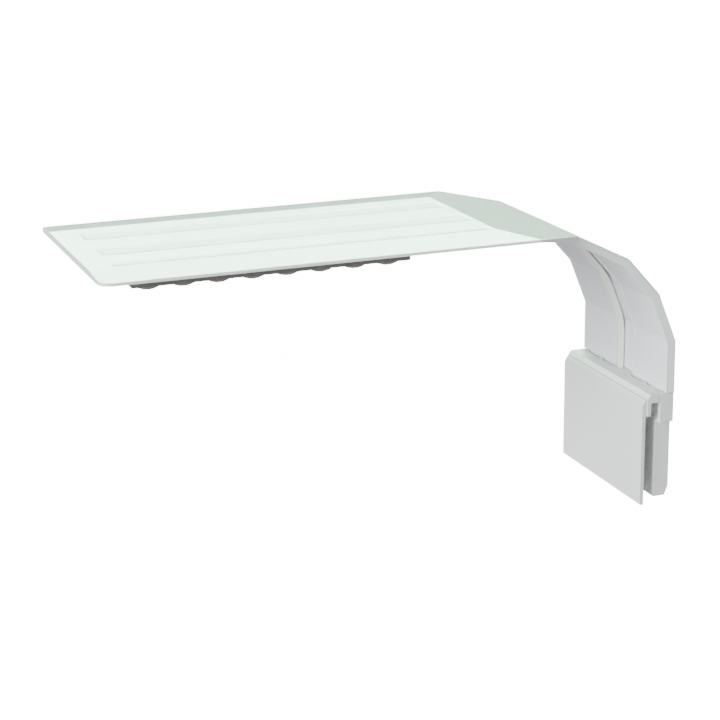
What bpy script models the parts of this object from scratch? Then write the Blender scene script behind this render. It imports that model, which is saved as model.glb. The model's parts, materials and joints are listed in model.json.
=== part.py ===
"""Clip-on LED aquarium light: a slim flat head on a wide folded arm, with a glass clamp at its foot.

Dimensions are named in millimetres and every mesh is made in metres, +Z up.
The origin is the middle of the seat that rests on the rim of the tank's glass.
-X points along the head, over the water; +X is outside the tank; the XZ plane is the symmetry plane.
"""

import math

import bmesh
import bpy
from mathutils import Matrix, Vector

MM = 0.001
GAP = 0.3  # clearance between neighbouring pieces

# Head and arm: the outer surface is a sheet folded across the lamp
HEAD_TIP_X = -288.0
HEAD_HALF_WIDTH = 63.0
HEAD_TOP_Z = 98.0
HEAD_CORNER_RADIUS = 6.0
HEAD_EDGE_DEPTH = 3.4
CREASE_EDGE_X = -74.0  # where the crease meets the long edges
CREASE_MIDDLE_X = -88.0  # the straight middle stretch of the crease
STRIPE_HALF_WIDTH = 41.5  # half width of the level middle of the head's top
ARM_HALF_WIDTH = 45.5
ARM_DEPTH = 5.0
ARM_FOLDS = ((-46.0, 91.5), (-17.0, 77.0), (0.0, 58.0), (10.4, 32.0))
HEAD_SKIN = 1.2
EDGE_DROP = 2.0  # how far the top slopes down towards the head's long edges
CEILING_DROP = 1.5  # the same for the underside of the top skin
BOTTOM_SKIN = 1.0  # bottom cover, thinner by BOTTOM_DROP at its long edges
BOTTOM_DROP = 0.6
ARM_SKIN = 1.4

# Shallow bands in the head's top face
STRIPE_START_X = -276.0
STRIPE_DEPTH = 0.25
STRIPE_BANDS = ((16.0, 31.0), (-18.0, -2.0), (-40.4, -32.8))  # sunk bands, low and high y

# Inner cover of the arm, with the cable channel down its middle
COVER_DEPTH = 3.2
COVER_SKIN = 1.2
CHANNEL_HALF_WIDTH = 9.0
CHANNEL_FLOOR_DEPTH = 1.7
CHANNEL_FLOOR_SKIN = 0.8
TAB_HALF_WIDTH = 6.2
TAB_YS = (-32.5, -15.8, 15.8, 32.5)
TAB_LENGTH = 3.0
SLOT_FRONT = 1.5  # how far a tab's slot shows in front of the panels
SLOT_END_ROOM = 0.6

# Lens tray under the head and what it holds
TRAY_X = (-272.0, -138.0)
TRAY_HALF_WIDTH = 55.0
TRAY_TOP_Z = 93.6
TRAY_BOTTOM_Z = 90.6
TRAY_WALL = 1.2
TRAY_FLOOR = 1.0
TRAY_CORNER_RADIUS = 5.0
GASKET_WIDTH = 2.0
LENS_COLUMNS = 8
LENS_ROW_YS = (-46.5, -15.5, 15.5, 46.5)
LENS_RADIUS = 7.4
LENS_HEIGHT = 3.4
WINDOW_X = (-268.0, -142.0)
WINDOW_HALF_WIDTH = 51.0
WINDOW_CORNER_RADIUS = 3.0
BOARD_THICKNESS = 1.0
SPREADER_THICKNESS = 1.2
SPREADER_HALF_WIDTH = 41.0
LED_SIDE = 3.4
LED_HEIGHT = 0.8
LED_TAPER = 0.4
BOARD_SCREW_XS = (-262.0, -160.0)
BOARD_SCREW_YS = (-27.0, 27.0)
BOARD_SCREW_RADIUS = 1.2
BOARD_SCREW_HEAD = (2.4, 1.0)  # radius and height
BOARD_HOLE_RADIUS = 1.5
CONNECTOR_LENGTH = 7.4
CONNECTOR_HALF_WIDTH = 4.0

# Clamp
PLATE_FRONT_X = -7.2
PLATE_THICKNESS = 2.4
PLATE_HALF_WIDTH = 44.0
PLATE_BOTTOM_Z = -55.0
PLATE_TOP_Z = 1.9
PLATE_CHAMFER_Z = -1.2  # where the top chamfer starts on the front face
PLATE_TOP_WIDTH = 0.6
PLATE_LOW_CHAMFER = 0.8
JAW_PAD_HALF_WIDTH = 36.0
JAW_PAD_Z = (-50.0, -11.0)
JAW_PAD_THICKNESS = 0.9
LEG_BACK_X = -2.4
LEG_BOTTOM_Z = -6.8
SADDLE_HALF_WIDTH = 45.0
SADDLE_CHAMFER = (1.9, 2.0)
CLAMP_TOP_Z = 4.4
NOTCH_HALF_WIDTH = 2.4
BODY_FRONT_X = 1.8
BODY_BACK_X = 10.4
BODY_HALF_WIDTH = 42.0
BODY_BOTTOM_Z = -52.0
BODY_CHAMFER = (2.0, 5.0)
BLOCK_BOTTOM_Z = -11.0
BODY_WALL = 1.6
CAVITY_HALF_WIDTH = 37.0
CAVITY_BOTTOM_Z = -47.5
BLOCK_CAVITY_HALF_WIDTH = 30.0
BLOCK_ROOF = 1.2
COVER_SEAT_HALF_WIDTH = 38.5
COVER_SEAT_Z = (-49.0, -2.0)
COVER_SEAT_ROOM = 0.4
REAR_COVER_THICKNESS = 1.4
REAR_COVER_CORNER_RADIUS = 2.5
COVER_SCREW_YS = (-35.0, 35.0)
COVER_SCREW_ZS = (-45.5, -5.5)
COVER_SCREW_HEAD = (1.9, 1.5, 0.7)  # rim radius, top radius and height
COVER_SCREW_TIP_X = 6.0
POST_RADIUS = 2.6
PILOT_RADIUS = 1.1
PILOT_DEPTH = 4.0
SHANK_RADIUS = 0.8
SADDLE_SCREW_YS = (-24.15, 24.15)
SADDLE_SCREW_Z = 1.6
SADDLE_SCREW_TIP_X = -2.6
SADDLE_SCREW_HEAD = (1.4, 1.1)  # radius and height
SADDLE_HOLE_RADIUS = 1.05

# Power socket and junction board inside the housing
SOCKET_X = (4.3, 7.9)
SOCKET_Y = (18.3, 27.7)
SOCKET_LENGTH = 9.7
SOCKET_BORE_RADIUS = 1.4
SOCKET_BORE_DEPTH = 7.0
SOCKET_PIN_RADIUS = 0.5
SOCKET_HOLE_ROOM = 0.2
SOCKET_HOLE_DEPTH = 6.0
JUNCTION_X = (5.2, 6.2)
JUNCTION_Y = (12.5, 34.0)
JUNCTION_Z = (-40.0, -18.0)
JUNCTION_PARTS = (  # front x, then y and z ranges of each component
    (4.1, (14.5, 18.5), (-38.0, -34.0)),
    (4.1, (21.0, 26.0), (-37.0, -34.5)),
    (3.9, (15.0, 20.0), (-30.0, -25.0)),
    (3.9, (24.0, 31.0), (-30.0, -23.0)),
)

# Thumbscrew
SCREW_Z = -29.0
STUD_RADIUS = 2.9
KNOB_RADIUS = 9.0
KNOB_X = (15.0, 21.6)
KNOB_LOBES = 10
KNOB_LOBE_DEPTH = 0.9
KNOB_SEAT_DEPTH = 5.0
STUD_CHAMFER = 0.7
INSERT_RADIUS = 4.5
INSERT_FRONT_X = 5.3
BOSS_RADIUS = 9.0
FOOT_RADIUS = 7.2
FOOT_PLATE_THICKNESS = 0.7
FOOT_FACE_THICKNESS = 0.9
POCKET_DEPTH = 2.6

# Leads
CABLE_WIDTH = 5.2
CABLE_THICKNESS = 1.8
CABLE_Y = 5.6
CABLE_BEND = 8.0  # straight length that each bend takes up
CABLE_END_DEPTH = 4.0  # how far the lead goes into the clamp
RIBBON_WIDTH = 5.0
RIBBON_THICKNESS = 0.4
GLAND_LENGTH = 9.0
GLAND_SETBACK = 3.5

MATERIALS = {
    "white_shell": ((0.86, 0.88, 0.87), 0.42, 0.0),
    "arm_white": ((0.84, 0.85, 0.88), 0.38, 0.0),
    "clamp_white": ((0.76, 0.78, 0.77), 0.48, 0.0),
    "clear_lens": ((0.62, 0.64, 0.66), 0.12, 0.0),
    "silicone": ((0.55, 0.56, 0.57), 0.70, 0.0),
    "aluminium": ((0.72, 0.73, 0.74), 0.35, 1.0),
    "board_white": ((0.80, 0.81, 0.80), 0.50, 0.0),
    "led_white": ((0.90, 0.84, 0.42), 0.35, 0.0),
    "steel": ((0.62, 0.63, 0.64), 0.28, 1.0),
    "brass": ((0.72, 0.58, 0.30), 0.32, 1.0),
    "cable_cream": ((0.72, 0.74, 0.64), 0.50, 0.0),
    "black_plastic": ((0.05, 0.05, 0.055), 0.45, 0.0),
}


# ---------------------------------------------------------------- scene and mesh helpers

def clear_scene():
    for obj in list(bpy.data.objects):
        bpy.data.objects.remove(obj, do_unlink=True)


def material(slot):
    found = bpy.data.materials.get(slot)
    if found:
        return found
    color, roughness, metallic = MATERIALS[slot]
    made = bpy.data.materials.new(slot)
    made.use_nodes = True
    shader = made.node_tree.nodes["Principled BSDF"]
    shader.inputs["Base Color"].default_value = (*color, 1.0)
    shader.inputs["Roughness"].default_value = roughness
    shader.inputs["Metallic"].default_value = metallic
    return made


def add_object(name, bm, slot):
    """Turns a bmesh in millimetres into an object in metres."""
    bmesh.ops.recalc_face_normals(bm, faces=bm.faces)
    bmesh.ops.scale(bm, vec=(MM, MM, MM), verts=bm.verts)
    mesh = bpy.data.meshes.new(name)
    bm.to_mesh(mesh)
    bm.free()
    mesh.materials.append(material(slot))
    obj = bpy.data.objects.new(name, mesh)
    bpy.context.scene.collection.objects.link(obj)
    return obj


def cut(target, *cutters):
    for cutter in cutters:
        boolean(target, cutter, "DIFFERENCE")


def join(target, *others):
    for other in others:
        boolean(target, other, "UNION")


def boolean(target, tool, operation):
    """Adds an exact Boolean and hides its tool as a wire guide."""
    modifier = target.modifiers.new(operation.title() + " " + tool.name, "BOOLEAN")
    modifier.object = tool
    modifier.operation = operation
    modifier.solver = "EXACT"
    tool.hide_render = True
    tool.display_type = "WIRE"


def add_box(bm, x, y, z):
    """Adds a box between two x, two y and two z values."""
    size = Vector((x[1] - x[0], y[1] - y[0], z[1] - z[0]))
    centre = Vector((x[0] + x[1], y[0] + y[1], z[0] + z[1])) / 2
    matrix = Matrix.Translation(centre) @ Matrix.Diagonal((*size, 1.0))
    bmesh.ops.create_cube(bm, size=1.0, matrix=matrix)


def box(name, x, y, z, slot="white_shell"):
    bm = bmesh.new()
    add_box(bm, x, y, z)
    return add_object(name, bm, slot)


def boxes(name, extents, slot="white_shell"):
    bm = bmesh.new()
    for extent in extents:
        add_box(bm, *extent)
    return add_object(name, bm, slot)


def add_rod_x(bm, radius, x, y, z, segments=20):
    """Adds a cylinder along X between two x values."""
    turn = Matrix.Rotation(math.pi / 2, 4, "Y")
    matrix = Matrix.Translation(((x[0] + x[1]) / 2, y, z)) @ turn
    bmesh.ops.create_cone(bm, cap_ends=True, segments=segments, radius1=radius, radius2=radius,
                          depth=x[1] - x[0], matrix=matrix)


def add_rod_z(bm, radius, x, y, z, segments=16):
    """Adds a cylinder along Z between two z values."""
    matrix = Matrix.Translation((x, y, (z[0] + z[1]) / 2))
    bmesh.ops.create_cone(bm, cap_ends=True, segments=segments, radius1=radius, radius2=radius,
                          depth=z[1] - z[0], matrix=matrix)


def rod_x(name, radius, x, y, z, slot="steel", segments=20):
    bm = bmesh.new()
    add_rod_x(bm, radius, x, y, z, segments)
    return add_object(name, bm, slot)


def loft(bm, rings):
    """Skins closed rings of the same number of points and caps both ends."""
    rows = [[bm.verts.new(point) for point in ring] for ring in rings]
    count = len(rows[0])
    for row, following in zip(rows, rows[1:]):
        for i in range(count):
            k = (i + 1) % count
            bm.faces.new((row[i], row[k], following[k], following[i]))
    caps = [bm.faces.new(rows[0][::-1]), bm.faces.new(rows[-1])]
    bmesh.ops.triangulate(bm, faces=caps)


def prism_y(name, outline, half_width, slot="clamp_white"):
    """Extrudes an XZ outline across the lamp."""
    bm = bmesh.new()
    loft(bm, [[(x, y, z) for x, z in outline] for y in (-half_width, half_width)])
    return add_object(name, bm, slot)


def rounded_outline(x, half_width, radius, steps=4):
    """Plan outline of a rectangle with round corners, anticlockwise from above."""
    corners = ((x[1] - radius, half_width - radius, 0), (x[0] + radius, half_width - radius, 90),
               (x[0] + radius, radius - half_width, 180), (x[1] - radius, radius - half_width, 270))
    points = []
    for cx, cy, start in corners:
        for i in range(steps + 1):
            angle = math.radians(start + 90 * i / steps)
            points.append((cx + radius * math.cos(angle), cy + radius * math.sin(angle)))
    return points


def rounded_slab(name, x, half_width, radius, z, slot):
    bm = bmesh.new()
    outline = rounded_outline(x, half_width, radius)
    loft(bm, [[(px, py, level) for px, py in outline] for level in z])
    return add_object(name, bm, slot)


# ---------------------------------------------------------------- the folded sheet

def arm_path():
    """Outer surface from the second fold down to the clamp, as (x, z) points."""
    return [*ARM_FOLDS, (BODY_BACK_X, CLAMP_TOP_Z + GAP)]


def inward_offsets(path, first_direction=None):
    """For each path point, the vector that moves it one millimetre deeper, mitred at folds."""
    directions = [(Vector(b) - Vector(a)).normalized() for a, b in zip(path, path[1:])]
    directions = [Vector(first_direction) if first_direction else directions[0], *directions]
    directions.append(directions[-1])
    offsets = []
    for before, after in zip(directions, directions[1:]):
        normal_before = Vector((before.y, -before.x))
        normal_after = Vector((after.y, -after.x))
        bisector = (normal_before + normal_after).normalized()
        offsets.append(bisector / bisector.dot(normal_before))
    return offsets


def head_stations(inset):
    """Plan stations of the flat head: (x, half width), with the tip's corners rounded."""
    radius = HEAD_CORNER_RADIUS - inset
    stations = []
    for i in range(5):
        angle = math.radians(90 * i / 4)
        x = HEAD_TIP_X + inset + radius * (1 - math.sin(angle))
        stations.append((x, HEAD_HALF_WIDTH - inset - radius * (1 - math.cos(angle))))
    return stations[::-1]


def sheet_rows(inset, depth_head, depth_arm, foot_z, drop=0.0):
    """Points of the folded sheet at a depth under its outer face, in rows of four across it.

    The head's face slopes down by `drop` from its level middle to its long edges.
    """
    def head_z(y):
        share = (abs(y) - STRIPE_HALF_WIDTH) / (HEAD_HALF_WIDTH - STRIPE_HALF_WIDTH)
        return HEAD_TOP_Z - depth_head - drop * share

    rows = []
    for x, half in head_stations(inset):
        ys = (-half, -STRIPE_HALF_WIDTH, STRIPE_HALF_WIDTH, half)
        rows.append([(x, y, head_z(y)) for y in ys])
    half = HEAD_HALF_WIDTH - inset
    xs = (CREASE_EDGE_X, CREASE_MIDDLE_X, CREASE_MIDDLE_X, CREASE_EDGE_X)
    ys = (-half, -STRIPE_HALF_WIDTH, STRIPE_HALF_WIDTH, half)
    rows.append([(x, y, head_z(y)) for x, y in zip(xs, ys)])
    half = ARM_HALF_WIDTH - inset
    path = arm_path()
    start = Vector(path[0]) - Vector((CREASE_MIDDLE_X, HEAD_TOP_Z))
    offsets = inward_offsets(path, start.normalized())
    for point, offset in zip(path, offsets):
        depth = depth_head if point is path[0] else depth_arm
        x, z = Vector(point) + offset * depth
        if point is path[-1]:
            z = foot_z
        rows.append([(x, y, z) for y in (-half, -STRIPE_HALF_WIDTH, STRIPE_HALF_WIDTH, half)])
    return rows


def add_sheet(bm, upper, lower):
    """Closes two sets of four-point rows into one folded slab."""
    rings = [up + low[::-1] for up, low in zip(upper, lower)]
    loft(bm, rings)


def upper_shell():
    """One moulding: the head's top skin and rim, and the arm's outer skin and sides."""
    bm = bmesh.new()
    foot = CLAMP_TOP_Z + GAP
    add_sheet(bm, sheet_rows(0, 0, 0, foot, EDGE_DROP), sheet_rows(0, HEAD_EDGE_DEPTH, ARM_DEPTH, foot))
    shell = add_object("upper_shell", bm, "white_shell")
    bm = bmesh.new()
    add_sheet(bm, sheet_rows(ARM_SKIN, HEAD_SKIN, ARM_SKIN, foot - 1.0, CEILING_DROP),
              sheet_rows(ARM_SKIN, HEAD_EDGE_DEPTH + 1.0, ARM_DEPTH + 1.0, foot - 1.0))
    cut(shell, add_object("upper_shell_hollow", bm, "white_shell"))
    z = (HEAD_TOP_Z - STRIPE_DEPTH, HEAD_TOP_Z + 1.0)
    bands = [((STRIPE_START_X, CREASE_MIDDLE_X - 0.6), band, z) for band in STRIPE_BANDS]
    cut(shell, boxes("stripe_bands", bands))


def head_bottom_cover():
    """Thin tray floor that closes the head from below, bent down at the crease to the second fold."""
    inset = ARM_SKIN + GAP
    rows = []
    for depth, drop in ((HEAD_EDGE_DEPTH - BOTTOM_SKIN, BOTTOM_DROP), (HEAD_EDGE_DEPTH, 0.0)):
        rows.append(sheet_rows(inset, depth, depth, 0, drop)[:7])
    shortened = []
    for sheet in rows:
        end = [(x - 1.0, y, z + 0.2) for x, y, z in sheet[-1]]
        shortened.append(sheet[:-1] + [end])
    bm = bmesh.new()
    add_sheet(bm, *shortened)
    cover = add_object("head_bottom_cover", bm, "white_shell")
    cut(cover, rounded_slab("lens_window", WINDOW_X, WINDOW_HALF_WIDTH, WINDOW_CORNER_RADIUS,
                            (HEAD_TOP_Z - 6.0, HEAD_TOP_Z), "white_shell"))


# ---------------------------------------------------------------- lens tray and light engine

def lens_centres():
    pitch = (TRAY_X[1] - TRAY_X[0] - 2.0) / LENS_COLUMNS
    first = TRAY_X[0] + 1.0 + pitch / 2
    return [(first + column * pitch, y) for y in LENS_ROW_YS for column in range(LENS_COLUMNS)]


def add_dome(bm, x, y, z, radius, height, segments=14, rings=3):
    """Adds a closed shallow dome that bulges down from z, on a short buried collar."""
    levels = [(radius, 0.4)]
    for i in range(rings):
        angle = math.radians(90 * i / rings)
        levels.append((radius * math.cos(angle), -height * math.sin(angle)))
    circles = []
    for r, drop in levels:
        turns = (2 * math.pi * k / segments for k in range(segments))
        circles.append([(x + r * math.cos(a), y + r * math.sin(a), z + drop) for a in turns])
    loft(bm, circles)


def lens_cover():
    """Clear tray with one shallow lens under each LED, open at the top."""
    tray = rounded_slab("lens_cover", TRAY_X, TRAY_HALF_WIDTH, TRAY_CORNER_RADIUS,
                        (TRAY_BOTTOM_Z, TRAY_TOP_Z), "clear_lens")
    bm = bmesh.new()
    for x, y in lens_centres():
        add_dome(bm, x, y, TRAY_BOTTOM_Z, LENS_RADIUS, LENS_HEIGHT)
    join(tray, add_object("lens_domes", bm, "clear_lens"))
    inner_x = (TRAY_X[0] + TRAY_WALL, TRAY_X[1] - TRAY_WALL)
    cut(tray, rounded_slab("lens_tray_hollow", inner_x, TRAY_HALF_WIDTH - TRAY_WALL,
                           TRAY_CORNER_RADIUS - TRAY_WALL,
                           (TRAY_BOTTOM_Z + TRAY_FLOOR, TRAY_TOP_Z + 1.0), "clear_lens"))


def lens_gasket():
    z = (TRAY_TOP_Z + GAP, HEAD_TOP_Z - HEAD_EDGE_DEPTH - GAP)
    ring = rounded_slab("lens_gasket", TRAY_X, TRAY_HALF_WIDTH, TRAY_CORNER_RADIUS, z, "silicone")
    inner_x = (TRAY_X[0] + GASKET_WIDTH, TRAY_X[1] - GASKET_WIDTH)
    cut(ring, rounded_slab("gasket_opening", inner_x, TRAY_HALF_WIDTH - GASKET_WIDTH,
                           TRAY_CORNER_RADIUS - GASKET_WIDTH, (z[0] - 1.0, z[1] + 1.0), "silicone"))


def spreader_z():
    top = HEAD_TOP_Z - HEAD_SKIN - GAP
    return (top - SPREADER_THICKNESS, top)


def board_z():
    top = spreader_z()[0] - GAP
    return (top - BOARD_THICKNESS, top)


def board_screw_places():
    return [(x, y) for x in BOARD_SCREW_XS for y in BOARD_SCREW_YS]


def screw_holes(name, z):
    bm = bmesh.new()
    for x, y in board_screw_places():
        add_rod_z(bm, BOARD_HOLE_RADIUS, x, y, (z[0] - 1.0, z[1] + 1.0), 12)
    return add_object(name, bm, "aluminium")


def heat_spreader():
    x = (WINDOW_X[0] + GAP, WINDOW_X[1] - 9.0)
    plate = rounded_slab("heat_spreader", x, SPREADER_HALF_WIDTH, 3.0, spreader_z(), "aluminium")
    cut(plate, screw_holes("spreader_holes", spreader_z()))


def led_board():
    """Board with one LED soldered over each lens."""
    x = (WINDOW_X[0] + 0.5, WINDOW_X[1] - 0.5)
    board = rounded_slab("led_board", x, WINDOW_HALF_WIDTH - 0.5, 2.0, board_z(), "board_white")
    cut(board, screw_holes("board_holes", board_z()))
    bm = bmesh.new()
    for x, y in lens_centres():
        add_led(bm, x, y)
    join(board, add_object("board_leds", bm, "led_white"))


def board_screws():
    """Screws with flat heads that hold the board and the spreader together."""
    head_radius, head_height = BOARD_SCREW_HEAD
    seat, high = board_z()[0] - GAP, spreader_z()[1] - GAP
    levels = ((seat - head_height, head_radius), (seat, head_radius), (seat, BOARD_SCREW_RADIUS),
              (high, BOARD_SCREW_RADIUS))
    for i, (x, y) in enumerate(board_screw_places()):
        bm = bmesh.new()
        loft(bm, [circle_z(x, y, z, radius, 12) for z, radius in levels])
        add_object(f"board_screw_{i + 1}", bm, "steel")


def circle_z(x, y, z, radius, segments):
    turns = (2 * math.pi * i / segments for i in range(segments))
    return [(x + radius * math.cos(a), y + radius * math.sin(a), z) for a in turns]


def add_led(bm, x, y):
    """Adds one surface-mounted LED: a square package with a narrower window face."""
    top = board_z()[0]
    half = LED_SIDE / 2
    levels = ((half, top + GAP), (half, top - LED_HEIGHT + GAP), (half - LED_TAPER, top - LED_HEIGHT))
    rings = []
    for h, z in levels:
        rings.append([(x - h, y - h, z), (x + h, y - h, z), (x + h, y + h, z), (x - h, y + h, z)])
    loft(bm, rings)


def board_connector():
    """Low socket on the arm's end of the LED board, beside the heat spreader."""
    z = (board_z()[1] + GAP, HEAD_TOP_Z - HEAD_SKIN - GAP)
    x = (WINDOW_X[1] - CONNECTOR_LENGTH - 1.0, WINDOW_X[1] - 1.0)
    y = (CABLE_Y - CONNECTOR_HALF_WIDTH, CABLE_Y + CONNECTOR_HALF_WIDTH)
    box("board_connector", x, y, z, "board_white")


# ---------------------------------------------------------------- arm cover and leads

def cover_section():
    """Section of the arm's inner cover as (y, depth): two panels and the channel between them."""
    edge = ARM_HALF_WIDTH - ARM_SKIN - GAP
    face = COVER_DEPTH + COVER_SKIN
    floor = CHANNEL_FLOOR_DEPTH + CHANNEL_FLOOR_SKIN
    wall = CHANNEL_HALF_WIDTH + 1.0
    half = [(edge, COVER_DEPTH), (edge, face), (CHANNEL_HALF_WIDTH, face), (CHANNEL_HALF_WIDTH, floor)]
    other = [(-y, depth) for y, depth in half[::-1]]
    return half + other + [(-wall, COVER_DEPTH), (-wall, CHANNEL_FLOOR_DEPTH),
                           (wall, CHANNEL_FLOOR_DEPTH), (wall, COVER_DEPTH)]


def arm_inner_cover():
    """Panels on the arm's inner side with the cable channel, and tabs that plug into the clamp."""
    path = arm_path()
    offsets = inward_offsets(path)
    rings = []
    for point, offset in zip(path, offsets):
        ring = []
        for y, depth in cover_section():
            x, z = Vector(point) + offset * depth
            ring.append((x, y, z))
        rings.append(ring)
    bm = bmesh.new()
    loft(bm, rings)
    cover = add_object("arm_inner_cover", bm, "arm_white")
    x_face = BODY_BACK_X - COVER_DEPTH - COVER_SKIN
    tabs = [((x_face, x_face + COVER_SKIN), (y - TAB_HALF_WIDTH, y + TAB_HALF_WIDTH),
             (CLAMP_TOP_Z - TAB_LENGTH, CLAMP_TOP_Z + 2.0)) for y in TAB_YS]
    join(cover, boxes("arm_cover_tabs", tabs, "arm_white"))


def cable_route():
    """Middle line of the arm cable in XZ: straight runs beside the channel floor, arcs at folds."""
    depth = CHANNEL_FLOOR_DEPTH + CHANNEL_FLOOR_SKIN + GAP + CABLE_THICKNESS / 2
    path = arm_path()
    offsets = inward_offsets(path)
    inner = [Vector(point) + offset * depth for point, offset in zip(path, offsets)]
    inner[-1] = Vector((inner[-1].x, CLAMP_TOP_Z - CABLE_END_DEPTH))
    along = (inner[1] - inner[0]).normalized()
    points = [inner[0] + along * 2.5]
    for before, corner, after in zip(inner, inner[1:], inner[2:]):
        points.extend(fillet(before, corner, after, CABLE_BEND))
    points.append(inner[-1])
    return points


def fillet(before, corner, after, reach, steps=4):
    """Quadratic curve round a corner, starting and ending at a distance from it."""
    start = corner + (before - corner).normalized() * reach
    end = corner + (after - corner).normalized() * reach
    curve = []
    for i in range(steps + 1):
        t = i / steps
        curve.append(start * (1 - t) ** 2 + corner * 2 * t * (1 - t) + end * t ** 2)
    return curve


def flat_lead_section(width, thickness):
    """Outline of a flat two-core lead, as (y, depth) with round sides."""
    radius = thickness / 2
    points = []
    for side, start in ((1, -90), (-1, 90)):
        for i in range(5):
            angle = math.radians(start + 180 * i / 4)
            y = side * (width / 2 - radius) + radius * math.cos(angle)
            points.append((y, radius * math.sin(angle)))
    return points


def arm_cable():
    """Flat two-core lead along the far side of the channel, from the head down into the clamp."""
    route = cable_route()
    rings = []
    for point, offset in zip(route, inward_offsets(route)):
        ring = []
        for y, depth in flat_lead_section(CABLE_WIDTH, CABLE_THICKNESS):
            x, z = point + offset * depth
            ring.append((x, CABLE_Y + y, z))
        rings.append(ring)
    bm = bmesh.new()
    loft(bm, rings)
    add_object("arm_cable", bm, "cable_cream")


def cable_gland():
    """Small tapered boss where the lead leaves the head, just before the second fold."""
    fold, slope, down = tail_frame()
    seat = fold + down * (HEAD_EDGE_DEPTH + GAP) - slope * GLAND_SETBACK
    rings = []
    for drop, grow in ((0.0, 0.0), (0.5, 0.0), (1.6, 1.2)):
        low = seat - slope * (GLAND_LENGTH - grow) + down * drop
        high = seat - slope * grow + down * drop
        y = CABLE_WIDTH / 2 + 2.0 - grow / 2
        rings.append([(low.x, CABLE_Y - y, low.y), (high.x, CABLE_Y - y, high.y),
                      (high.x, CABLE_Y + y, high.y), (low.x, CABLE_Y + y, low.y)])
    bm = bmesh.new()
    loft(bm, rings)
    add_object("cable_gland", bm, "arm_white")


def tail_frame():
    """The second fold as (x, z), and the tail's directions along and into its skin."""
    fold = Vector(ARM_FOLDS[0])
    slope = (fold - Vector((CREASE_MIDDLE_X, HEAD_TOP_Z))).normalized()
    return fold, slope, Vector((slope.y, -slope.x))


def head_lead():
    """Thin ribbon from the gland to the LED board, between the head's skin and its bottom cover."""
    depth = HEAD_SKIN + RIBBON_THICKNESS
    z = HEAD_TOP_Z - depth
    fold, slope, down = tail_frame()
    tail = fold - slope * (GLAND_SETBACK + 2.5) + down * depth
    rings = []
    for x, top in ((WINDOW_X[1] - 0.6, z), (CREASE_MIDDLE_X, z), (tail.x, tail.y)):
        near, far, bottom = CABLE_Y - RIBBON_WIDTH / 2, CABLE_Y + RIBBON_WIDTH / 2, top - RIBBON_THICKNESS
        rings.append([(x, near, top), (x, far, top), (x, far, bottom), (x, near, bottom)])
    bm = bmesh.new()
    loft(bm, rings)
    add_object("head_lead", bm, "cable_cream")


# ---------------------------------------------------------------- clamp

def front_plate():
    """Broad flat jaw on the water side, with its top edge chamfered."""
    back = PLATE_FRONT_X + PLATE_THICKNESS
    outline = [(PLATE_FRONT_X, PLATE_BOTTOM_Z + PLATE_LOW_CHAMFER),
               (PLATE_FRONT_X + PLATE_LOW_CHAMFER, PLATE_BOTTOM_Z), (back, PLATE_BOTTOM_Z),
               (back, PLATE_TOP_Z), (back - PLATE_TOP_WIDTH, PLATE_TOP_Z), (PLATE_FRONT_X, PLATE_CHAMFER_Z)]
    prism_y("front_plate", outline[::-1], PLATE_HALF_WIDTH)


def front_jaw_pad():
    """Soft strip on the front plate's inner face."""
    x = PLATE_FRONT_X + PLATE_THICKNESS + GAP
    box("front_jaw_pad", (x, x + JAW_PAD_THICKNESS), (-JAW_PAD_HALF_WIDTH, JAW_PAD_HALF_WIDTH), JAW_PAD_Z,
        "silicone")


def tab_slots(name):
    x_face = BODY_BACK_X - COVER_DEPTH - COVER_SKIN
    half = TAB_HALF_WIDTH + SLOT_END_ROOM
    slots = [((x_face - SLOT_FRONT, x_face + COVER_SKIN + GAP), (y - half, y + half),
              (CLAMP_TOP_Z - TAB_LENGTH - 0.6, CLAMP_TOP_Z + 1.0)) for y in TAB_YS]
    return boxes(name, slots)


def saddle():
    """Bridge over the glass rim with a short inner leg; its roof is the seat on the glass."""
    front = PLATE_FRONT_X + PLATE_THICKNESS + GAP
    back = NOTCH_HALF_WIDTH
    outline = [(front, LEG_BOTTOM_Z), (LEG_BACK_X, LEG_BOTTOM_Z), (LEG_BACK_X, 0.0), (back, 0.0),
               (back, CLAMP_TOP_Z), (front + SADDLE_CHAMFER[0], CLAMP_TOP_Z),
               (front, CLAMP_TOP_Z - SADDLE_CHAMFER[1])]
    block = prism_y("saddle", outline, SADDLE_HALF_WIDTH)
    bm = bmesh.new()
    for y in SADDLE_SCREW_YS:
        add_rod_x(bm, SADDLE_HOLE_RADIUS, (SADDLE_SCREW_TIP_X - 0.4, back + 1.0), y, SADDLE_SCREW_Z, 12)
    cut(block, add_object("saddle_screw_holes", bm, "clamp_white"))


def saddle_screws():
    """Screws that pull the saddle onto the rear housing from inside it."""
    head_radius, head_height = SADDLE_SCREW_HEAD
    seat = NOTCH_HALF_WIDTH + GAP + BODY_WALL + GAP
    levels = ((SADDLE_SCREW_TIP_X, SHANK_RADIUS), (seat, SHANK_RADIUS), (seat, head_radius),
              (seat + head_height, head_radius))
    for i, y in enumerate(SADDLE_SCREW_YS):
        bm = bmesh.new()
        loft(bm, [circle_x(x, y, SADDLE_SCREW_Z, radius, 12) for x, radius in levels])
        add_object(f"saddle_screw_{i + 1}", bm, "steel")


def circle_x(x, y, z, radius, segments):
    turns = (2 * math.pi * i / segments for i in range(segments))
    return [(x, y + radius * math.cos(a), z + radius * math.sin(a)) for a in turns]


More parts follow.
